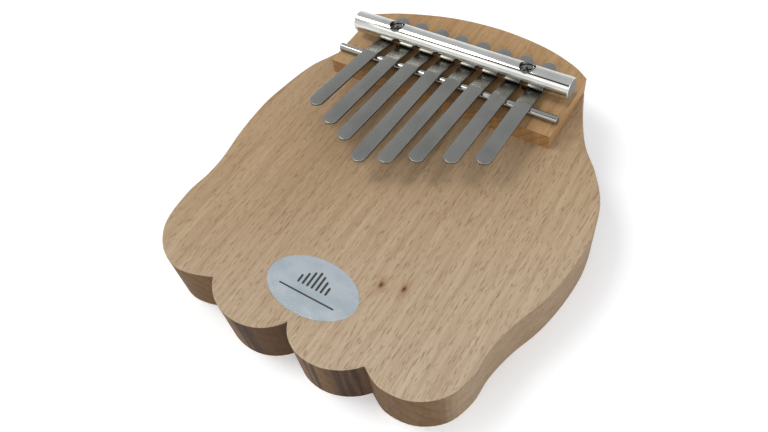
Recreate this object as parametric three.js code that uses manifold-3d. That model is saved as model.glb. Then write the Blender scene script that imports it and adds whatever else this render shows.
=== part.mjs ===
// Eight-tine thumb piano on a paw-shaped beech board, in millimetres.
// +Z is up off the table, +Y points from the toes to the crest, the tines run along Y.
import * as THREE from 'three';
import { mergeVertices } from 'three/addons/utils/BufferGeometryUtils.js';
import Module from 'manifold-3d';

const wasm = await Module();
wasm.setup();

// Board. The outline below is drawn at these drawn sizes and stretched to the wanted ones.
const BOARD_LENGTH = 148.8;
const BOARD_WIDTH = 132.4;
const BOARD_THICKNESS = 21;
const EDGE_EASE = 0.5;
const DRAWN_LENGTH = 148.8;
const DRAWN_WIDTH = 132.4;

// Bridge plate, glued on the neck with its rear edge flush with the crest
const PLATE_WIDTH = 90.6;
const PLATE_DEPTH = 43;
const PLATE_HEIGHT = 6;
const PLATE_CENTRE_X = -6;
const CREST_DROP_LEFT = 12.6;
const CREST_DROP_RIGHT = 11.6;

// Round steel rods and the clamp bar; each end stands in from the plate's side
const ROD_DIAMETER = 3;
const FRONT_ROD_INSET = 0.3;
const REAR_ROD_INSET = 5.5;
const BAR_DIAMETER = 8;
const BAR_INSET = 1.2;
const BAR_OFF_MIDDLE = 0.6;
const ROD_CHAMFER = 0.3;
const BAR_CHAMFER = 0.5;
const FRONT_ROD_FROM_PLATE_EDGE = 6.7;
const FRONT_ROD_TO_BAR = 11.5;
const BAR_TO_REAR_ROD = 6.8;

// Tines, numbered from the left. The turns are how far each one is set off straight, in degrees.
const TINE_PLAYING_LENGTHS = [34, 39.2, 43.2, 49.2, 45.6, 40.6, 35.8, 31.4];
const TINE_TURNS = [5.2, 3.4, 3.3, 2.1, 2.6, 2.9, 1.3, 0.4];
const TINE_WIDTH = 5.7;
const TINE_SPACING = 3.2;
const TINE_THICKNESS = 1;
const TINE_TAIL = 4.6;
const TINE_DIP = 2.1;
const TIP_RISE = 1.3;
const TINES_CENTRE_X = -4.8;
const REST_GAP = 0.1;
const SPLIT_GAP = 0.2;

// Countersunk screws with a cross recess
const SCREW_HEAD_RADIUS = 2.6;
const SCREW_SHANK_RADIUS = 1.3;
const SCREW_CLEARANCE = 0.3;
const SCREW_HEAD_BELOW_BAR_TOP = 1.8;
const SCREW_CONE_HEIGHT = 1.3;
const SCREW_POINT_HEIGHT = 2.5;
const SCREW_DEPTH_IN_BOARD = 9;
const CROSS_LENGTH = 3;
const CROSS_WIDTH = 0.75;
const CROSS_DEPTH = 1.1;
const CROSS_TURN = Math.PI / 5;

// Oval foil label
const LABEL_LENGTH = 33;
const LABEL_WIDTH = 20.2;
const LABEL_THICKNESS = 0.12;
const LABEL_CENTRE_X = -1;
const LABEL_CENTRE_FROM_TOES = 21.3;

// Places along Y and Z that follow from the sizes
const crestY = BOARD_LENGTH / 2;
const plateFrontY = crestY - PLATE_DEPTH;
const frontRodY = plateFrontY + FRONT_ROD_FROM_PLATE_EDGE;
const barY = frontRodY + FRONT_ROD_TO_BAR;
const rearRodY = barY + BAR_TO_REAR_ROD;
const tineTailY = rearRodY + TINE_TAIL;
const plateTop = BOARD_THICKNESS + PLATE_HEIGHT;
const rodZ = plateTop + ROD_DIAMETER / 2;
const tineOverRod = plateTop + ROD_DIAMETER + REST_GAP + TINE_THICKNESS / 2;
const barZ = tineOverRod - TINE_DIP + TINE_THICKNESS / 2 + REST_GAP + BAR_DIAMETER / 2;
const tinePitch = TINE_WIDTH + TINE_SPACING;

const group = new THREE.Group();
group.name = 'thumb_piano';

const beech = new THREE.MeshStandardMaterial({ color: 0xc4a887, roughness: 0.6 });
const plateWood = new THREE.MeshStandardMaterial({ color: 0xcaa468, roughness: 0.6 });
const polished = new THREE.MeshStandardMaterial({ color: 0xd8d8d4, roughness: 0.15, metalness: 1 });
const spring = new THREE.MeshStandardMaterial({ color: 0x8d9496, roughness: 0.4, metalness: 1 });
const plated = new THREE.MeshStandardMaterial({ color: 0x77776f, roughness: 0.35, metalness: 1 });
const foil = new THREE.MeshStandardMaterial({ color: 0xb9c0c6, roughness: 0.3, metalness: 1 });

function point(pair) {
  return new THREE.Vector2(pair[0], pair[1]);
}

function spline(pairs, count) {
  return new THREE.SplineCurve(pairs.map(point)).getPoints(count);
}

function toSolid(geometry) {
  geometry.deleteAttribute('normal');
  geometry.deleteAttribute('uv');
  const merged = mergeVertices(geometry, 1e-4);
  return new wasm.Manifold(new wasm.Mesh({
    numProp: 3,
    vertProperties: new Float32Array(merged.attributes.position.array),
    triVerts: new Uint32Array(merged.index.array),
  }));
}

function addMesh(name, solid, material) {
  const mesh = solid.getMesh();
  const geometry = new THREE.BufferGeometry();
  geometry.setAttribute('position', new THREE.BufferAttribute(new Float32Array(mesh.vertProperties), 3));
  geometry.setIndex(new THREE.BufferAttribute(new Uint32Array(mesh.triVerts), 1));
  geometry.computeVertexNormals();
  const node = new THREE.Mesh(geometry, material);
  node.name = name;
  group.add(node);
}

// A plan outline pushed up from z = bottom.
function prism(points, bottom, height, ease = 0) {
  const geometry = new THREE.ExtrudeGeometry(new THREE.Shape(points), {
    depth: height - 2 * ease,
    bevelEnabled: ease > 0,
    bevelThickness: ease,
    bevelSize: ease,
    bevelOffset: -ease,
    bevelSegments: 1,
  });
  geometry.translate(0, 0, bottom + ease);
  return toSolid(geometry);
}

// A round rod along X with small chamfers on its ends.
function rodAlongX(diameter, length, centre, chamfer) {
  const r = diameter / 2;
  const half = length / 2;
  const profile = [
    [0, -half], [r - chamfer, -half], [r, -half + chamfer],
    [r, half - chamfer], [r - chamfer, half], [0, half],
  ];
  const geometry = new THREE.LatheGeometry(profile.map(point), 36);
  geometry.rotateZ(-Math.PI / 2);
  geometry.translate(centre[0], centre[1], centre[2]);
  return toSolid(geometry);
}

// A turned shape standing on Z; the profile is [radius, z] from the bottom up.
function turned(profile, x, y) {
  const geometry = new THREE.LatheGeometry(profile.map(point), 32);
  geometry.rotateX(Math.PI / 2);
  geometry.translate(x, y, 0);
  return toSolid(geometry);
}

// ---- Board and bridge plate ----
function onBoard(pair) {
  return [(pair[0] * BOARD_WIDTH) / DRAWN_WIDTH, (pair[1] * BOARD_LENGTH) / DRAWN_LENGTH];
}

const plateLeft = PLATE_CENTRE_X - PLATE_WIDTH / 2;
const plateRight = PLATE_CENTRE_X + PLATE_WIDTH / 2;
const neckLeft = [plateLeft, crestY - CREST_DROP_LEFT];
const neckRight = [plateRight, crestY - CREST_DROP_RIGHT];
const notchLeft = onBoard([-32, -65.6]);
const notchMiddle = onBoard([-0.9, -66.5]);
const notchRight = onBoard([27.5, -66.9]);

// Each crest point is a share of the half width across and a drop from the top.
const crestShape = [[0.844, 7], [0.545, 2.3], [0.127, 0], [-0.312, 1.5], [-0.73, 6.8]];
const crest = spline([
  neckRight,
  ...crestShape.map(([across, drop]) => [PLATE_CENTRE_X + (across * PLATE_WIDTH) / 2, crestY - drop]),
  neckLeft,
], 36);

const rightFlank = spline([
  notchRight,
  ...[
    [34.4, -70.1], [44, -69.2], [52, -63.5], [55.6, -54.5], [56.2, -45], [58.6, -34.5],
    [62.8, -23], [65.4, -10], [66.1, 4], [63.5, 17.7], [57.2, 29.1], [50, 38.3], [44.3, 49.6],
  ].map(onBoard),
  neckRight,
], 70);

const leftFlank = spline([
  neckLeft,
  ...[
    [-52.8, 51], [-57.2, 40.4], [-62.3, 29.8], [-65.2, 15], [-66.2, 3.9], [-65.2, -11], [-63, -24],
    [-62.6, -33], [-63.6, -43], [-61.8, -56], [-56, -64.2], [-47.7, -68.5], [-40, -68.3],
  ].map(onBoard),
  notchLeft,
], 70);

function toe(from, outOne, outTwo, to) {
  const corners = [from, onBoard(outOne), onBoard(outTwo), to].map(point);
  return new THREE.CubicBezierCurve(...corners).getPoints(18);
}

const toeTwo = toe(notchLeft, [-26, -76.4], [-8, -78], notchMiddle);
const toeThree = toe(notchMiddle, [4, -76.5], [19.5, -76.5], notchRight);

const pieces = [toeTwo, toeThree, rightFlank, crest, leftFlank];
const boardOutline = pieces.flatMap((piece) => piece.slice(0, -1));
const plateOutline = [point([plateLeft, plateFrontY]), point([plateRight, plateFrontY]), ...crest];

let board = prism(boardOutline, 0, BOARD_THICKNESS, EDGE_EASE);
let plate = prism(plateOutline, BOARD_THICKNESS, PLATE_HEIGHT);

// ---- Rods and clamp bar ----
const frontRodLength = PLATE_WIDTH - 2 * FRONT_ROD_INSET;
const rearRodLength = PLATE_WIDTH - 2 * REAR_ROD_INSET;
const barLength = PLATE_WIDTH - 2 * BAR_INSET;
const frontRod = rodAlongX(ROD_DIAMETER, frontRodLength, [PLATE_CENTRE_X, frontRodY, rodZ], ROD_CHAMFER);
const rearRod = rodAlongX(ROD_DIAMETER, rearRodLength, [PLATE_CENTRE_X, rearRodY, rodZ], ROD_CHAMFER);
let bar = rodAlongX(BAR_DIAMETER, barLength, [PLATE_CENTRE_X + BAR_OFF_MIDDLE, barY, barZ], BAR_CHAMFER);

// ---- Screws, halfway between the outer pairs of tines ----
const headTop = barZ + BAR_DIAMETER / 2 - SCREW_HEAD_BELOW_BAR_TOP;
const headBottom = headTop - SCREW_CONE_HEIGHT;
const screwTip = BOARD_THICKNESS - SCREW_DEPTH_IN_BOARD;
const screwOffset = (TINE_PLAYING_LENGTHS.length / 2 - 1) * tinePitch;
const holeRadius = SCREW_SHANK_RADIUS + SCREW_CLEARANCE;
const sinkRadius = SCREW_HEAD_RADIUS + SCREW_CLEARANCE;

for (const [side, offset] of [['left', -screwOffset], ['right', screwOffset]]) {
  const x = TINES_CENTRE_X + offset;
  const hole = turned([
    [0, screwTip - SCREW_CLEARANCE], [holeRadius, screwTip - SCREW_CLEARANCE], [holeRadius, headBottom],
    [sinkRadius, headTop - SCREW_CLEARANCE], [sinkRadius, barZ + BAR_DIAMETER], [0, barZ + BAR_DIAMETER],
  ], x, barY);
  board = board.subtract(hole);
  plate = plate.subtract(hole);
  bar = bar.subtract(hole);

  let screw = turned([
    [0, screwTip], [SCREW_SHANK_RADIUS, screwTip + SCREW_POINT_HEIGHT], [SCREW_SHANK_RADIUS, headBottom],
    [SCREW_HEAD_RADIUS, headTop - SCREW_CLEARANCE], [SCREW_HEAD_RADIUS, headTop], [0, headTop],
  ], x, barY);
  for (const turn of [0, Math.PI / 2]) {
    const slot = new THREE.BoxGeometry(CROSS_LENGTH, CROSS_WIDTH, 2 * CROSS_DEPTH);
    slot.rotateZ(turn + CROSS_TURN);
    slot.translate(x, barY, headTop);
    screw = screw.subtract(toSolid(slot));
  }
  addMesh(`clamp_screw_${side}`, screw, plated);
}

// ---- Tines ----
// A tine runs straight between the rods and the bar and wraps a little of each. Its middle line
// stays wrap away from a rod's centre, and the slope is that of the line touching both circles.
const rodWrap = ROD_DIAMETER / 2 + REST_GAP + TINE_THICKNESS / 2;
const barWrap = BAR_DIAMETER / 2 + REST_GAP + TINE_THICKNESS / 2;

function slopeTowards(rodY) {
  const across = Math.abs(rodY - barY);
  const down = rodZ - barZ;
  return Math.atan2(down, across) + Math.asin((rodWrap + barWrap) / Math.hypot(across, down));
}

function arc(centreY, centreZ, radius, from, to) {
  return new THREE.EllipseCurve(centreY, centreZ, radius, radius, from, to, to < from).getPoints(5);
}

// Side profile of one tine as a ribbon in the Y-Z plane, pushed out along X.
function tineRibbon(length) {
  const up = Math.PI / 2;
  const rear = slopeTowards(rearRodY);
  const front = slopeTowards(frontRodY);
  const tipSlope = TIP_RISE / length;
  const middle = [
    new THREE.Vector2(tineTailY + 2, rodZ + rodWrap),
    ...arc(rearRodY, rodZ, rodWrap, up, up + rear),
    ...arc(barY, barZ, barWrap, -up + rear, -up - front),
    ...arc(frontRodY, rodZ, rodWrap, up - front, up - tipSlope),
    new THREE.Vector2(frontRodY - length - 2, rodZ + rodWrap + TIP_RISE),
  ];
  const half = TINE_THICKNESS / 2;
  const upper = [];
  const lower = [];
  middle.forEach((at, i) => {
    const before = middle[Math.max(i - 1, 0)];
    const after = middle[Math.min(i + 1, middle.length - 1)];
    const along = after.clone().sub(before).normalize();
    upper.push(new THREE.Vector2(at.x + along.y * half, at.y - along.x * half));
    lower.push(new THREE.Vector2(at.x - along.y * half, at.y + along.x * half));
  });
  const ribbon = new THREE.Shape([...upper, ...lower.reverse()]);
  const geometry = new THREE.ExtrudeGeometry(ribbon, { depth: 2 * TINE_WIDTH, bevelEnabled: false });
  geometry.translate(0, 0, -TINE_WIDTH);
  // Shape x becomes world Y, shape y becomes world Z, the push becomes world X.
  geometry.applyMatrix4(new THREE.Matrix4().set(
    0, 0, 1, 0,
    1, 0, 0, 0,
    0, 1, 0, 0,
    0, 0, 0, 1,
  ));
  return toSolid(geometry);
}

// Plan outline of a strip from flatY to roundY whose far end is rounded.
function strip(flatY, roundY) {
  const half = TINE_WIDTH / 2;
  const direction = Math.sign(roundY - flatY);
  const centre = roundY - direction * half;
  const points = [new THREE.Vector2(-direction * half, flatY), new THREE.Vector2(direction * half, flatY)];
  for (let i = 0; i <= 12; i += 1) {
    const angle = (Math.PI * i) / 12;
    points.push(new THREE.Vector2(
      direction * half * Math.cos(angle),
      centre + direction * half * Math.sin(angle),
    ));
  }
  return points;
}

TINE_PLAYING_LENGTHS.forEach((length, index) => {
  const number = index + 1;
  const place = index - (TINE_PLAYING_LENGTHS.length - 1) / 2;
  const x = TINES_CENTRE_X + place * tinePitch;
  const ribbon = tineRibbon(length);
  const root = prism(strip(frontRodY + SPLIT_GAP / 2, tineTailY), plateTop, 8).intersect(ribbon);
  const tongue = prism(strip(frontRodY - SPLIT_GAP / 2, frontRodY - length), plateTop, 12)
    .intersect(ribbon);
  for (const [suffix, solid] of [['root', root], ['tongue', tongue]]) {
    const placed = solid
      .translate([0, -barY, 0])
      .rotate([0, 0, -TINE_TURNS[index]])
      .translate([x, barY, 0]);
    addMesh(`tine_${number}_${suffix}`, placed, spring);
  }
});

// ---- Label ----
const labelY = -BOARD_LENGTH / 2 + LABEL_CENTRE_FROM_TOES;
const oval = new THREE.EllipseCurve(LABEL_CENTRE_X, labelY, LABEL_LENGTH / 2, LABEL_WIDTH / 2).getPoints(48);
addMesh('maker_label', prism(oval.slice(0, -1), BOARD_THICKNESS, LABEL_THICKNESS), foil);

addMesh('board', board, beech);
addMesh('bridge_plate', plate, plateWood);
addMesh('front_rod', frontRod, polished);
addMesh('rear_rod', rearRod, polished);
addMesh('clamp_bar', bar, polished);

export default group;
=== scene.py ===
"""Looks of an eight-tine thumb piano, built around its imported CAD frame.

Named sizes are in millimetres, turned to metres with MM where they are used,
unless their comment says otherwise.
"""

import math

import bmesh
import bpy
from mathutils import Matrix, Vector


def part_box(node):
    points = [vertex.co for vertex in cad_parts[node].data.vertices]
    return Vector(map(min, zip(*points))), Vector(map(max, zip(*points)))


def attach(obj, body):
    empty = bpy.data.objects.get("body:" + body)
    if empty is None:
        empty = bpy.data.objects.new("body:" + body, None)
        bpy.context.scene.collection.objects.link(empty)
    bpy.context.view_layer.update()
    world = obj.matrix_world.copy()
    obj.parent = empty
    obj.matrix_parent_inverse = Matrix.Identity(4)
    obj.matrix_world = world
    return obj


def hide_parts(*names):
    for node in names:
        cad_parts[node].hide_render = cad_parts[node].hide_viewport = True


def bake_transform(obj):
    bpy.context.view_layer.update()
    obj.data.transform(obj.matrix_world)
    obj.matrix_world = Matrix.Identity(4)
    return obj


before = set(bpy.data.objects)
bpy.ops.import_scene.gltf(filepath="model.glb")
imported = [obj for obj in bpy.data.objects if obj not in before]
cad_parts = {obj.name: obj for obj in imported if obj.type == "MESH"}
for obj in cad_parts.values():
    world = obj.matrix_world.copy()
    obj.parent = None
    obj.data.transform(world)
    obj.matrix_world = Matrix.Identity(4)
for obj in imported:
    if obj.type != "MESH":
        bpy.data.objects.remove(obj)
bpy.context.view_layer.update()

MM = 0.001

# Tines, numbered from the left, as in the CAD part
PLAYING_LENGTHS = [34, 39.2, 43.2, 49.2, 45.6, 40.6, 35.8, 31.4]
TURNS = [5.2, 3.4, 3.3, 2.1, 2.6, 2.9, 1.3, 0.4]
TINE_WIDTH = 5.7
TINE_THICKNESS = 1.0
TINE_PITCH = 8.9
TINES_CENTRE_X = -4.8
TINE_TAIL = 4.6
TIP_RISE = 1.3
REST_GAP = 0.1
TINE_EDGE = 0.22
TIP_GRIND_LENGTH = 5.0
TIP_GRIND_DEPTH = 0.16

# Screw seats in the clamp bar
SEAT_RADIUS = 2.9
SEAT_HOLE_RADIUS = 1.6
SEAT_RIM_DROP = 2.1
SEAT_DEPTH = 3.1

# How far the screw seat cutter runs past the bar
CUTTER_OVERRUN = 2.0

# Label section, as shares of its half width: the rim's start, then the flat middle
LABEL_RIM = 0.997
LABEL_FLAT = 0.9

# Faces that meet at more than this many degrees have a sharp edge
SHARP_ANGLE = 30

# Points closer than these are one, on turned pieces, copies of CAD nodes and tines
WELD_DISTANCE = 0.0001
COPY_WELD = 0.005
TINE_WELD = 0.002

# Number of sides of the turned pieces, and of points on a tine's bends and round ends
ROD_SIDES = 64
SEAT_SIDES = 64
BAR_SIDES = 144
LABEL_SIDES = 96
BEND_POINTS = 9
END_POINTS = 13

# Small rounded edges
WOOD_EDGE = 0.22
PLATE_EDGE = 0.3
SCREW_EDGE = 0.06
ROD_END = 0.3
BAR_END = 0.6

# Marks on the board, placed in plan: pin knots on its top; saw scorches, and scorching with painted shade
# near the notches, on its toe faces
PIN_KNOTS = [(17.5, -42.0), (24.5, -39.9)]
SCORCHES = [(-14.0, 4.5), (12.0, 2.5), (23.0, 4.0)]
# Darkening of the toe faces near the notches: partly saw scorching, partly painted shade
NOTCH_SCORCH_AND_SHADE = [(-6.0, 9.0), (23.0, 8.0)]

# Painted sheen: a paler, greyer tone of the board towards its toes and its right side, and where it starts
# and is full, in metres of lean
SHEEN_TONE = (0.550, 0.450, 0.330)
SHEEN_START = -0.03
SHEEN_FULL = 0.11

# Colour of the rods' and bar's sawn ends
SAWN_END = (0.10, 0.098, 0.09)

# Label motif: plain graded bars over a thin rule
MOTIF_BARS = [3.0, 4.4, 5.6, 6.4, 5.6, 4.4, 3.0]
MOTIF_PITCH = 1.75
MOTIF_BAR_WIDTH = 0.8
MOTIF_FOOT = -0.6
RULE_LENGTH = 21.0
RULE_WIDTH = 0.55
RULE_Y = -3.4
INK_HEIGHT = 0.02

# Studio floor, in metres, and how strongly it glows
FLOOR_HALF_SIZE = 3.0
FLOOR_Z = -0.0002
FLOOR_GLOW = 0.18

# Dark flag hung over the set, in metres
FLAG_LENGTH = 1.2
FLAG_WIDTH = 0.23
FLAG_PLACE = (-0.3, -0.37, 0.75)

# Camera: place and lens in millimetres, turns in degrees
CAMERA_PLACE = (91.58, -120.87, 201.0)
CAMERA_AZIMUTH = 40.734
CAMERA_ELEVATION = 53.359
CAMERA_ROLL = 10.386
CAMERA_LENS = 31.827


# ---------------------------------------------------------------- mesh helpers
def new_object(name, bm):
    """Turns a bmesh into a linked object with smooth faces and sharp corners."""
    bmesh.ops.recalc_face_normals(bm, faces=bm.faces)
    mesh = bpy.data.meshes.new(name)
    bm.to_mesh(mesh)
    bm.free()
    obj = bpy.data.objects.new(name, mesh)
    bpy.context.scene.collection.objects.link(obj)
    smooth(mesh)
    return obj


def smooth(mesh):
    for face in mesh.polygons:
        face.use_smooth = True
    mesh.set_sharp_from_angle(angle=math.radians(SHARP_ANGLE))


def clean_copy(node, name):
    """A new object with a CAD node's shape, its doubles merged and its flat faces joined."""
    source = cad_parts[node].data
    bm = bmesh.new()
    verts = [bm.verts.new(v.co) for v in source.vertices]
    for face in source.polygons:
        bm.faces.new([verts[i] for i in face.vertices])
    bmesh.ops.remove_doubles(bm, verts=bm.verts, dist=COPY_WELD * MM)
    bmesh.ops.dissolve_limit(bm, angle_limit=math.radians(0.3), verts=bm.verts, edges=bm.edges)
    return new_object(name, bm)


def lathe(name, profile, segments, place):
    """A closed turned solid. The profile is (radius, height) pairs from one pole to the other."""
    bm = bmesh.new()
    points = [bm.verts.new((radius, 0, height)) for radius, height in profile]
    edges = [bm.edges.new(pair) for pair in zip(points, points[1:])]
    bmesh.ops.spin(
        bm,
        geom=points + edges,
        cent=(0, 0, 0),
        axis=(0, 0, 1),
        angle=2 * math.pi,
        steps=segments,
        use_merge=True,
    )
    bmesh.ops.remove_doubles(bm, verts=bm.verts, dist=WELD_DISTANCE * MM)
    bmesh.ops.transform(bm, matrix=place, verts=bm.verts)
    return new_object(name, bm)


def bevelled(obj, width, segments=3, angle=30):
    modifier = obj.modifiers.new("edge", "BEVEL")
    modifier.width = width * MM
    modifier.segments = segments
    modifier.limit_method = "ANGLE"
    modifier.angle_limit = math.radians(angle)
    modifier.harden_normals = True
    return obj


def applied(obj):
    """Writes an object's modifiers into its mesh."""
    evaluated = obj.evaluated_get(bpy.context.evaluated_depsgraph_get())
    mesh = bpy.data.meshes.new_from_object(evaluated)
    obj.modifiers.clear()
    obj.data = mesh
    smooth(mesh)
    return obj


def rounded_rod(node, name, end_radius, segments):
    """A round rod along X in the CAD node's place, with rounded ends."""
    low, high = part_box(node)
    centre = (low + high) / 2
    radius = (high.z - low.z) / 2
    half = (high.x - low.x) / 2
    end = end_radius * MM
    quarter = []
    for k in range(7):
        angle = math.radians(15 * k)
        quarter.append((radius - end + end * math.sin(angle), half - end + end * math.cos(angle)))
    profile = [(0, half)] + quarter + [(r, -x) for r, x in reversed(quarter)] + [(0, -half)]
    place = Matrix.Translation(centre) @ Matrix.Rotation(math.radians(90), 4, "Y")
    return lathe(name, profile, segments, place)


# ---------------------------------------------------------------- shader helpers
def new_material(name):
    material = bpy.data.materials.new(name)
    material.use_nodes = True
    tree = material.node_tree
    shader = tree.nodes["Principled BSDF"]
    spot = tree.nodes.new("ShaderNodeTexCoord").outputs["Object"]
    return material, tree, shader, spot


def put(tree, socket, value):
    if isinstance(value, bpy.types.NodeSocket):
        tree.links.new(value, socket)
    else:
        socket.default_value = value


def maths(tree, operation, a, b=0.0):
    made = tree.nodes.new("ShaderNodeMath")
    made.operation = operation
    put(tree, made.inputs[0], a)
    put(tree, made.inputs[1], b)
    return made.outputs[0]


def noise(tree, spot, scale, detail=2.0, roughness=0.5, offset=(0, 0, 0)):
    """Noise whose grain is 1/scale metres along each axis."""
    mapping = tree.nodes.new("ShaderNodeMapping")
    put(tree, mapping.inputs["Vector"], spot)
    mapping.inputs["Scale"].default_value = scale
    mapping.inputs["Location"].default_value = offset
    made = tree.nodes.new("ShaderNodeTexNoise")
    tree.links.new(mapping.outputs["Vector"], made.inputs["Vector"])
    made.inputs["Scale"].default_value = 1.0
    made.inputs["Detail"].default_value = detail
    made.inputs["Roughness"].default_value = roughness
    return made.outputs["Fac"]


def between(tree, value, low, high, out_low=0.0, out_high=1.0):
    """Moves a value from low..high to out_low..out_high, held at both ends."""
    made = tree.nodes.new("ShaderNodeMapRange")
    made.interpolation_type = "SMOOTHSTEP"
    put(tree, made.inputs["Value"], value)
    made.inputs["From Min"].default_value = low
    made.inputs["From Max"].default_value = high
    made.inputs["To Min"].default_value = out_low
    made.inputs["To Max"].default_value = out_high
    return made.outputs["Result"]


def mix(tree, share, a, b, blend="MIX"):
    made = tree.nodes.new("ShaderNodeMix")
    made.data_type = "RGBA"
    made.blend_type = blend
    put(tree, made.inputs[0], share)
    for socket, value in ((made.inputs[6], a), (made.inputs[7], b)):
        put(tree, socket, value if isinstance(value, bpy.types.NodeSocket) else (*value, 1.0))
    return made.outputs[2]


def bump(tree, shader, height, strength, distance):
    made = tree.nodes.new("ShaderNodeBump")
    made.inputs["Strength"].default_value = strength
    made.inputs["Distance"].default_value = distance * MM
    tree.links.new(height, made.inputs["Height"])
    tree.links.new(made.outputs["Normal"], shader.inputs["Normal"])


def parts_of(tree, spot):
    made = tree.nodes.new("ShaderNodeSeparateXYZ")
    tree.links.new(spot, made.inputs[0])
    return made.outputs


def length_of(tree, a, b):
    """Distance from zero of a point at (a, b)."""
    square = maths(tree, "ADD", maths(tree, "MULTIPLY", a, a), maths(tree, "MULTIPLY", b, b))
    return maths(tree, "SQRT", square)


# ---------------------------------------------------------------- materials
def spot_mask(tree, x, y, place, size, stretch):
    """1 at a place in plan, 0 beyond size; stretch is how much longer it is along Y."""
    across = maths(tree, "SUBTRACT", x, place[0] * MM)
    along = maths(tree, "DIVIDE", maths(tree, "SUBTRACT", y, place[1] * MM), stretch)
    return between(tree, length_of(tree, across, along), 0.0, size * MM, 1.0, 0.0)


def wood(name, pale, deep, wall_grain_and_shade, pith, ring_width, seed, marks_and_painted_light):
    """Plain-sawn wood with its grain along Y. Rings lie round a pith line at (x, z)."""
    material, tree, shader, spot = new_material(name)
    x, y, z = parts_of(tree, spot)[:3]
    shift = (seed * 3.7, seed * 1.3, seed * 2.1)

    # Growth rings round the pith, pushed about by slow noise
    from_pith_x = maths(tree, "SUBTRACT", x, pith[0] * MM)
    from_pith_z = maths(tree, "SUBTRACT", z, pith[1] * MM)
    from_pith = length_of(tree, from_pith_x, from_pith_z)
    wander = noise(tree, spot, (22, 7, 22), 3, 0.5, shift)
    distance = maths(tree, "ADD", from_pith, maths(tree, "MULTIPLY", wander, 9 * MM))
    turns = maths(tree, "DIVIDE", distance, ring_width * MM)
    ring = maths(tree, "POWER", maths(tree, "FRACT", turns), 3.0)

    # Broad tone, fibres, ray flecks and fine pores
    tone = noise(tree, spot, (16, 9, 16), 3, 0.6, shift)
    fibre = noise(tree, spot, (900, 32, 900), 4, 0.7, shift)
    fleck = between(tree, noise(tree, spot, (2500, 340, 2500), 1, 0.4, shift), 0.58, 0.70)
    pore = between(tree, noise(tree, spot, (5200, 900, 5200), 2, 0.5, shift), 0.56, 0.72)

    colour = mix(tree, between(tree, tone, 0.3, 0.7), pale, deep)
    if marks_and_painted_light:
        # Painted sheen: the board turns paler and greyer towards its toes and its right side
        lean = maths(tree, "SUBTRACT", maths(tree, "MULTIPLY", x, 0.6), y)
        colour = mix(tree, between(tree, lean, SHEEN_START, SHEEN_FULL, 0.0, 0.75), colour, SHEEN_TONE)
    colour = mix(tree, maths(tree, "MULTIPLY", ring, 0.14), colour, deep, "MULTIPLY")
    colour = mix(tree, between(tree, fibre, 0.3, 0.72, 0.0, 0.34), colour, deep, "MULTIPLY")
    colour = mix(tree, maths(tree, "MULTIPLY", fleck, 0.55), colour, (0.20, 0.115, 0.055))
    colour = mix(tree, maths(tree, "MULTIPLY", pore, 0.2), colour, (0.30, 0.18, 0.09))

    # Upright faces: end grain across the toes, long grain along the sides, both given a darker wall colour
    # that is partly end grain and partly painted shade
    normal = tree.nodes.new("ShaderNodeNewGeometry").outputs["True Normal"]
    facing = parts_of(tree, normal)
    upright = between(tree, maths(tree, "ABSOLUTE", facing[2]), 0.35, 0.75, 1.0, 0.0)
    endwise = between(tree, maths(tree, "ABSOLUTE", facing[1]), 0.25, 0.85)
    ray = between(tree, noise(tree, spot, (500, 500, 70), 3, 0.6, shift), 0.35, 0.7)
    sawn = between(tree, noise(tree, spot, (120, 120, 1200), 3, 0.6, shift), 0.35, 0.7)
    end_colour = mix(tree, maths(tree, "MULTIPLY", ray, 0.5), wall_grain_and_shade, (0.62, 0.55, 0.46), "MULTIPLY")
    end_colour = mix(tree, maths(tree, "MULTIPLY", ring, 0.55), end_colour, (0.55, 0.45, 0.35), "MULTIPLY")
    side_colour = mix(tree, 0.5, colour, wall_grain_and_shade)
    side_colour = mix(tree, maths(tree, "MULTIPLY", sawn, 0.25), side_colour, (0.7, 0.64, 0.55), "MULTIPLY")
    wall_colour = mix(tree, endwise, side_colour, end_colour)
    colour = mix(tree, upright, colour, wall_colour)

    # Knots and saw scorches, with painted shade near the notches
    if marks_and_painted_light:
        for place in PIN_KNOTS:
            halo = spot_mask(tree, x, y, place, 2.4, 2.2)
            core = spot_mask(tree, x, y, place, 1.1, 1.5)
            colour = mix(tree, maths(tree, "MULTIPLY", halo, 0.65), colour, (0.26, 0.13, 0.045))
            colour = mix(tree, maths(tree, "MULTIPLY", core, 0.95), colour, (0.075, 0.028, 0.009))
        streak = noise(tree, spot, (520, 520, 16), 3, 0.6, shift)
        streak = between(tree, streak, 0.40, 0.52)
        front = between(tree, facing[1], -0.35, -0.1, 1.0, 0.0)
        faces_front = maths(tree, "MULTIPLY", front, upright)
        # Painted shade, with some saw scorching, darkens the toe faces near the notches
        for centre, reach in NOTCH_SCORCH_AND_SHADE:
            away = maths(tree, "ABSOLUTE", maths(tree, "SUBTRACT", x, centre * MM))
            near = between(tree, away, reach * 0.4 * MM, reach * MM, 0.7, 0.0)
            colour = mix(tree, maths(tree, "MULTIPLY", near, faces_front), colour, (0.055, 0.025, 0.010))
        for centre, reach in SCORCHES:
            away = maths(tree, "ABSOLUTE", maths(tree, "SUBTRACT", x, centre * MM))
            near = between(tree, away, reach * 0.6 * MM, reach * MM, 1.0, 0.0)
            burnt = maths(tree, "MULTIPLY", maths(tree, "MULTIPLY", near, streak), faces_front)
            colour = mix(tree, maths(tree, "MULTIPLY", burnt, 0.9), colour, (0.030, 0.014, 0.006))

    tree.links.new(colour, shader.inputs["Base Color"])
    tree.links.new(between(tree, fibre, 0.2, 0.8, 0.5, 0.68), shader.inputs["Roughness"])
    shader.inputs["Specular IOR Level"].default_value = 0.12
    grain = maths(tree, "ADD", maths(tree, "MULTIPLY", fibre, 0.5), maths(tree, "MULTIPLY", fleck, -0.6))
    grain = maths(tree, "ADD", grain, maths(tree, "MULTIPLY", sawn, maths(tree, "MULTIPLY", upright, 0.8)))
    bump(tree, shader, grain, 0.35, 0.08)
    return material


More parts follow.
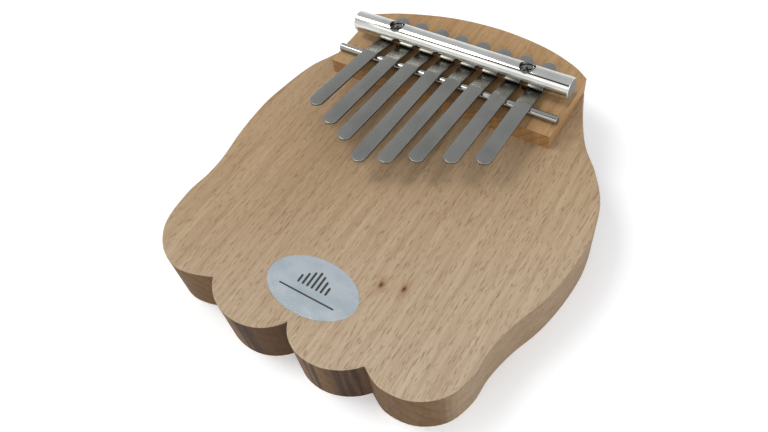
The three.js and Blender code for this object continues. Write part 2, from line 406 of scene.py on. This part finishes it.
def metal(name, colour, rough_low, rough_high, brush, bump_depth, anisotropy=0.0, sawn_ends=False):
    """Worked steel. Brush is the grain of the fine lines, in lines a metre along each axis."""
    material, tree, shader, spot = new_material(name)
    lines = noise(tree, spot, brush, 4, 0.65)
    smudge = noise(tree, spot, (90, 70, 90), 3, 0.6, (5, 2, 1))
    shader.inputs["Metallic"].default_value = 1.0
    shader.inputs["Anisotropic"].default_value = anisotropy
    dull = tuple(0.82 * c for c in colour)
    base = mix(tree, between(tree, smudge, 0.35, 0.75), colour, dull)
    blend = maths(tree, "ADD", maths(tree, "MULTIPLY", lines, 0.5), maths(tree, "MULTIPLY", smudge, 0.5))
    rough = between(tree, blend, 0.3, 0.7, rough_low, rough_high)
    if sawn_ends:
        normal = tree.nodes.new("ShaderNodeNewGeometry").outputs["True Normal"]
        along = maths(tree, "ABSOLUTE", parts_of(tree, normal)[0])
        sawn = between(tree, along, 0.75, 0.95)
        base = mix(tree, sawn, base, SAWN_END)
        rough = maths(tree, "ADD", rough, maths(tree, "MULTIPLY", sawn, 0.3))
    tree.links.new(base, shader.inputs["Base Color"])
    tree.links.new(rough, shader.inputs["Roughness"])
    bump(tree, shader, lines, 0.25, bump_depth)
    return material


def foil_material():
    """Printed satin foil, slightly uneven where it is stuck down."""
    material, tree, shader, spot = new_material("label_foil")
    cloud = noise(tree, spot, (70, 95, 70), 3, 0.55, (3, 1, 0))
    sparkle = noise(tree, spot, (4200, 4200, 4200), 1, 0.5)
    colour = mix(tree, between(tree, cloud, 0.3, 0.7), (0.58, 0.63, 0.65), (0.46, 0.52, 0.55))
    shader.inputs["Metallic"].default_value = 0.85
    tree.links.new(colour, shader.inputs["Base Color"])
    tree.links.new(between(tree, sparkle, 0.3, 0.7, 0.15, 0.20), shader.inputs["Roughness"])
    height = maths(tree, "ADD", maths(tree, "MULTIPLY", cloud, 1.0), maths(tree, "MULTIPLY", sparkle, 0.02))
    bump(tree, shader, height, 0.5, 0.35)
    return material


def ink_material():
    """Black print with slightly worn ink."""
    material, tree, shader, spot = new_material("label_ink")
    worn = noise(tree, spot, (2600, 2600, 2600), 3, 0.6)
    colour = mix(tree, between(tree, worn, 0.55, 0.75), (0.012, 0.012, 0.014), (0.06, 0.062, 0.066))
    tree.links.new(colour, shader.inputs["Base Color"])
    tree.links.new(between(tree, worn, 0.3, 0.7, 0.35, 0.5), shader.inputs["Roughness"])
    return material


def floor_material():
    """Pale matt paper with a very faint tooth, lit a little from below."""
    material, tree, shader, spot = new_material("pale_floor")
    tooth = noise(tree, spot, (900, 900, 900), 2, 0.5)
    colour = mix(tree, between(tree, tooth, 0.3, 0.7), (0.93, 0.93, 0.93), (0.91, 0.91, 0.915))
    tree.links.new(colour, shader.inputs["Base Color"])
    shader.inputs["Roughness"].default_value = 0.9
    shader.inputs["Specular IOR Level"].default_value = 0.1
    shader.inputs["Emission Color"].default_value = (1, 1, 1, 1)
    shader.inputs["Emission Strength"].default_value = FLOOR_GLOW
    return material


def flag_material():
    """Black cloth."""
    material, tree, shader, spot = new_material("flag_cloth")
    weave = noise(tree, spot, (700, 700, 700), 2, 0.5)
    tree.links.new(mix(tree, weave, (0.01, 0.01, 0.01), (0.03, 0.03, 0.03)), shader.inputs["Base Color"])
    shader.inputs["Roughness"].default_value = 1.0
    return material


BEECH = wood(
    "beech",
    pale=(0.440, 0.310, 0.186),
    deep=(0.372, 0.250, 0.140),
    # Upright faces: darker end grain, deepened further with painted shade
    wall_grain_and_shade=(0.150, 0.082, 0.034),
    pith=(-120, -110),
    ring_width=4.2,
    seed=1,
    marks_and_painted_light=True,
)
PALE_WOOD = wood(
    "pale_wood",
    pale=(0.490, 0.330, 0.180),
    deep=(0.405, 0.248, 0.116),
    # Upright faces: deeper orange end grain with painted warm shade
    wall_grain_and_shade=(0.400, 0.222, 0.092),
    pith=(-30, 95),
    ring_width=2.6,
    seed=4,
    marks_and_painted_light=False,
)
POLISHED = metal("polished_steel", (0.66, 0.65, 0.61), 0.07, 0.12, (60, 2200, 2200), 0.0012, sawn_ends=True)
ROD_STEEL = metal("rod_steel", (0.36, 0.355, 0.335), 0.12, 0.18, (80, 2600, 2600), 0.0015, sawn_ends=True)
SPRING = metal("spring_steel", (0.275, 0.272, 0.25), 0.25, 0.30, (1600, 45, 1600), 0.0008, 0.3)
SCREW_STEEL = metal("screw_steel", (0.24, 0.235, 0.22), 0.2, 0.32, (1500, 1500, 1500), 0.006)
FOIL = foil_material()
INK = ink_material()


def finish_piece(obj, material, nodes=(), body="frame"):
    """Gives a piece its material, its body and the CAD nodes it stands for."""
    obj.data.materials.clear()
    obj.data.materials.append(material)
    if body:
        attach(obj, body)
    if nodes:
        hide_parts(*nodes)
    return obj


# ---------------------------------------------------------------- board and bridge plate
board = bevelled(clean_copy("board", "wood_board"), WOOD_EDGE)
finish_piece(board, BEECH, ["board"])
plate = bevelled(clean_copy("bridge_plate", "wood_bridge_plate"), PLATE_EDGE)
finish_piece(plate, PALE_WOOD, ["bridge_plate"])

# ---------------------------------------------------------------- rods, bar and screws
front_rod = rounded_rod("front_rod", "steel_front_rod", ROD_END, ROD_SIDES)
finish_piece(front_rod, ROD_STEEL, ["front_rod"])
rear_rod = rounded_rod("rear_rod", "steel_rear_rod", ROD_END, ROD_SIDES)
finish_piece(rear_rod, ROD_STEEL, ["rear_rod"])

bar = rounded_rod("clamp_bar", "steel_clamp_bar", BAR_END, BAR_SIDES)
bar_low, bar_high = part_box("clamp_bar")
seats = []
for side in ("left", "right"):
    low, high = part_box(f"clamp_screw_{side}")
    centre = (low + high) / 2
    top = bar_high.z
    bottom = bar_low.z - CUTTER_OVERRUN * MM
    profile = [
        (0, bottom),
        (SEAT_HOLE_RADIUS * MM, bottom),
        (SEAT_HOLE_RADIUS * MM, top - SEAT_DEPTH * MM),
        (SEAT_RADIUS * MM, top - SEAT_RIM_DROP * MM),
        (SEAT_RADIUS * MM, top + CUTTER_OVERRUN * MM),
        (0, top + CUTTER_OVERRUN * MM),
    ]
    seat = lathe(f"seat_{side}", profile, SEAT_SIDES, Matrix.Translation((centre.x, centre.y, 0)))
    cut = bar.modifiers.new(f"seat_{side}", "BOOLEAN")
    cut.operation = "DIFFERENCE"
    cut.solver = "EXACT"
    cut.object = seat
    seats.append(seat)
applied(bar)
for seat in seats:
    bpy.data.objects.remove(seat)
finish_piece(bar, POLISHED, ["clamp_bar"])

for side in ("left", "right"):
    screw = bevelled(clean_copy(f"clamp_screw_{side}", f"steel_screw_{side}"), SCREW_EDGE, 2, 35)
    finish_piece(screw, SCREW_STEEL, [f"clamp_screw_{side}"])


# ---------------------------------------------------------------- tines
def circle_of(node):
    """Centre (y, z) and radius of a rod along X."""
    low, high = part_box(node)
    return (low.y + high.y) / 2, (low.z + high.z) / 2, (high.z - low.z) / 2


front_y, rod_z, rod_radius = circle_of("front_rod")
rear_y = circle_of("rear_rod")[0]
bar_y, bar_z, bar_radius = circle_of("clamp_bar")
half_thickness = TINE_THICKNESS / 2 * MM
rod_wrap = rod_radius + REST_GAP * MM + half_thickness
bar_wrap = bar_radius + REST_GAP * MM + half_thickness


def slope_towards(rod_y):
    across = abs(rod_y - bar_y)
    down = rod_z - bar_z
    return math.atan2(down, across) + math.asin((rod_wrap + bar_wrap) / math.hypot(across, down))


def arc(centre_y, centre_z, radius, start, end):
    points = []
    for k in range(BEND_POINTS):
        angle = start + (end - start) * k / (BEND_POINTS - 1)
        points.append((centre_y + radius * math.cos(angle), centre_z + radius * math.sin(angle)))
    return points


def middle_line(length):
    """The tine's middle line from its tail to its tip, as (y, z) points."""
    up = math.pi / 2
    rear = slope_towards(rear_y)
    front = slope_towards(front_y)
    tip_slope = TIP_RISE / length
    return [
        (rear_y + (TINE_TAIL + 2) * MM, rod_z + rod_wrap),
        *arc(rear_y, rod_z, rod_wrap, up, up + rear),
        *arc(bar_y, bar_z, bar_wrap, -up + rear, -up - front),
        *arc(front_y, rod_z, rod_wrap, up - front, up - tip_slope),
        (front_y - (length + 2) * MM, rod_z + rod_wrap + TIP_RISE * MM),
    ]


def on_line(line, y):
    """Height and slope of the middle line at y."""
    for (y1, z1), (y2, z2) in zip(line, line[1:]):
        if y2 <= y <= y1 and y1 > y2:
            share = (y - y1) / (y2 - y1)
            return z1 + (z2 - z1) * share, math.atan2(z2 - z1, y2 - y1)
    raise ValueError("y is off the tine")


def grind(y, tip_y):
    """How far the top is ground down near the tip, in metres."""
    share = max(0.0, 1 - (y - tip_y) / (TIP_GRIND_LENGTH * MM))
    return TIP_GRIND_DEPTH * MM * share**2


def tine(number):
    length = PLAYING_LENGTHS[number - 1]
    tail_y = rear_y + TINE_TAIL * MM
    tip_y = front_y - length * MM
    half = TINE_WIDTH / 2 * MM
    line = middle_line(length)

    # Stations along the strip: y, half width and the outline's outward normal
    stations = []
    for k in range(END_POINTS):
        angle = math.radians(90 * k / (END_POINTS - 1))
        stations.append((tail_y - half + half * math.cos(angle), half * math.sin(angle), angle))
    straight = [y for y, z in line if tip_y + half < y < tail_y - half]
    steps = int((front_y - tip_y - half) / (2.5 * MM))
    straight += [front_y - (front_y - tip_y - half) * k / steps for k in range(1, steps)]
    for y in sorted(set(straight), reverse=True):
        stations.append((y, half, math.pi / 2))
    for k in range(END_POINTS):
        angle = math.radians(90 + 90 * k / (END_POINTS - 1))
        stations.append((tip_y + half + half * math.cos(angle), half * math.sin(angle), angle))

    edge = TINE_EDGE * MM
    bm = bmesh.new()
    rings = []
    for y, width, angle in stations:
        out_x, out_y = math.sin(angle), math.cos(angle)
        right = []
        for k in range(5):
            turn = math.radians(22.5 * k)
            out = edge * (math.sin(turn) - 1)
            high = half_thickness - edge + edge * math.cos(turn)
            right.append((width + out * out_x, y + out * out_y, high))
        right += [(x, along, -high) for x, along, high in reversed(right)]
        left = [(-x, along, high) for x, along, high in reversed(right)]
        ring = []
        for x, along, high in right + left:
            z, slope = on_line(line, along)
            if high > 0:
                high -= grind(along, tip_y)
            turned = Vector((x, along - bar_y + high * math.sin(slope), z - high * math.cos(slope)))
            turned = Matrix.Rotation(-math.radians(TURNS[number - 1]), 3, "Z") @ turned
            ring.append(bm.verts.new(turned + Vector((0, bar_y, 0))))
        rings.append(ring)
    for one, two in zip(rings, rings[1:]):
        for k in range(len(one)):
            after = (k + 1) % len(one)
            bm.faces.new([one[k], one[after], two[after], two[k]])
    bm.faces.new(rings[0])
    bm.faces.new(rings[-1])
    bmesh.ops.remove_doubles(bm, verts=bm.verts, dist=TINE_WELD * MM)
    centre_x = (TINES_CENTRE_X + (number - (len(TURNS) + 1) / 2) * TINE_PITCH) * MM
    bmesh.ops.translate(bm, verts=bm.verts, vec=(centre_x, 0, 0))
    obj = new_object(f"steel_tine_{number}", bm)
    finish_piece(obj, SPRING, [f"tine_{number}_root", f"tine_{number}_tongue"], None)
    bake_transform(obj)
    return obj


for number in range(1, len(TURNS) + 1):
    tine(number)

# ---------------------------------------------------------------- label
label_low, label_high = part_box("maker_label")
label_centre = (label_low + label_high) / 2
label_half = (label_high - label_low) / 2
thickness = label_high.z - label_low.z
label_profile = [
    (0, 0),
    (1, 0),
    (1, 0.5 * thickness),
    (LABEL_RIM, thickness),
    (LABEL_FLAT, thickness),
    (0, thickness),
]
label_place = Matrix.Translation((label_centre.x, label_centre.y, label_low.z)) @ Matrix.Diagonal(
    (label_half.x, label_half.y, 1, 1)
)
label = lathe("foil_label", label_profile, LABEL_SIDES, label_place)
finish_piece(label, FOIL, ["maker_label"])


def inked(name, centre, size):
    """A thin printed bar on the label, at a place measured from the label's centre."""
    bm = bmesh.new()
    place = Matrix.Translation(
        (
            label_centre.x + centre[0] * MM,
            label_centre.y + centre[1] * MM,
            label_high.z + INK_HEIGHT * MM / 2,
        )
    )
    shape = Matrix.Diagonal((size[0] * MM, size[1] * MM, INK_HEIGHT * MM, 1))
    bmesh.ops.create_cube(bm, size=1, matrix=place @ shape)
    corners = []
    for edge in bm.edges:
        rise = abs(edge.verts[0].co.z - edge.verts[1].co.z)
        if rise > INK_HEIGHT * MM / 2:
            corners.append(edge)
    round_by = 0.45 * min(size) * MM
    bmesh.ops.bevel(
        bm, geom=corners, offset=round_by, segments=5, profile=0.5, affect="EDGES", material=-1
    )
    obj = new_object(name, bm)
    return finish_piece(obj, INK)


for index, height in enumerate(MOTIF_BARS):
    across = (index - (len(MOTIF_BARS) - 1) / 2) * MOTIF_PITCH
    inked(f"label_bar_{index + 1}", (across, MOTIF_FOOT + height / 2), (MOTIF_BAR_WIDTH, height))
inked("label_rule", (0, RULE_Y), (RULE_LENGTH, RULE_WIDTH))

# ---------------------------------------------------------------- floor, light and camera
bm = bmesh.new()
bmesh.ops.create_grid(bm, x_segments=1, y_segments=1, size=FLOOR_HALF_SIZE)
bmesh.ops.translate(bm, verts=bm.verts, vec=(0, 0, FLOOR_Z))
floor = new_object("floor", bm)
floor.data.materials.append(floor_material())


def area_light(name, place, target, size, power, colour=(1, 1, 1)):
    light = bpy.data.lights.new(name, "AREA")
    light.shape = "RECTANGLE"
    light.size, light.size_y = size
    light.energy = power
    light.color = colour
    obj = bpy.data.objects.new(name, light)
    bpy.context.scene.collection.objects.link(obj)
    obj.location = place
    obj.rotation_euler = (Vector(target) - Vector(place)).to_track_quat("-Z", "Y").to_euler()
    return obj


area_light("key", (-0.48, -0.14, 0.83), (0, 0, 0.02), (0.36, 0.45), 3.8, (1.0, 0.985, 0.96))
area_light("front_high", (-0.3, -0.80, 0.72), (-0.1, 0, 0), (0.9, 0.5), 1.3, (1.0, 0.975, 0.93))

area_light("fill", (0.75, -0.35, 0.55), (0, 0, 0), (0.9, 0.7), 2.0, (1.0, 0.98, 0.95))

# A dark flag between the two lights gives polished steel its thin dark line
bm = bmesh.new()
bmesh.ops.create_grid(bm, x_segments=1, y_segments=1, size=0.5)
bmesh.ops.scale(bm, verts=bm.verts, vec=(FLAG_LENGTH, FLAG_WIDTH, 1))
bmesh.ops.translate(bm, verts=bm.verts, vec=FLAG_PLACE)
flag = new_object("flag", bm)
flag.data.materials.append(flag_material())

world = bpy.data.worlds.new("studio")
world.use_nodes = True
sky = world.node_tree.nodes["Background"]
sky_spot = world.node_tree.nodes.new("ShaderNodeTexCoord").outputs["Generated"]
sky_height = parts_of(world.node_tree, sky_spot)[2]
sky_tone = between(world.node_tree, sky_height, 0.05, 0.75)
sky_colour = mix(world.node_tree, sky_tone, (0.95, 0.97, 1.0), (0.60, 0.62, 0.65))
world.node_tree.links.new(sky_colour, sky.inputs["Color"])
sky.inputs["Strength"].default_value = 1.08
bpy.context.scene.world = world

azimuth = math.radians(CAMERA_AZIMUTH)
elevation = math.radians(CAMERA_ELEVATION)
roll = math.radians(CAMERA_ROLL)
ahead = -Vector(
    (
        math.sin(azimuth) * math.cos(elevation),
        -math.cos(azimuth) * math.cos(elevation),
        math.sin(elevation),
    )
)
level = ahead.cross(Vector((0, 0, 1))).normalized()
drop = ahead.cross(level)
right = math.cos(roll) * level + math.sin(roll) * drop
below = -math.sin(roll) * level + math.cos(roll) * drop
camera_data = bpy.data.cameras.new("camera")
camera_data.sensor_width = 36.0
camera_data.lens = CAMERA_LENS
camera_data.clip_start = 0.01
camera = bpy.data.objects.new("camera", camera_data)
bpy.context.scene.collection.objects.link(camera)
turn = Matrix((right, -below, -ahead)).transposed().to_4x4()
camera.matrix_world = Matrix.Translation(Vector(CAMERA_PLACE) * MM) @ turn
bpy.context.scene.camera = camera
bpy.context.scene.view_settings.view_transform = "Standard"
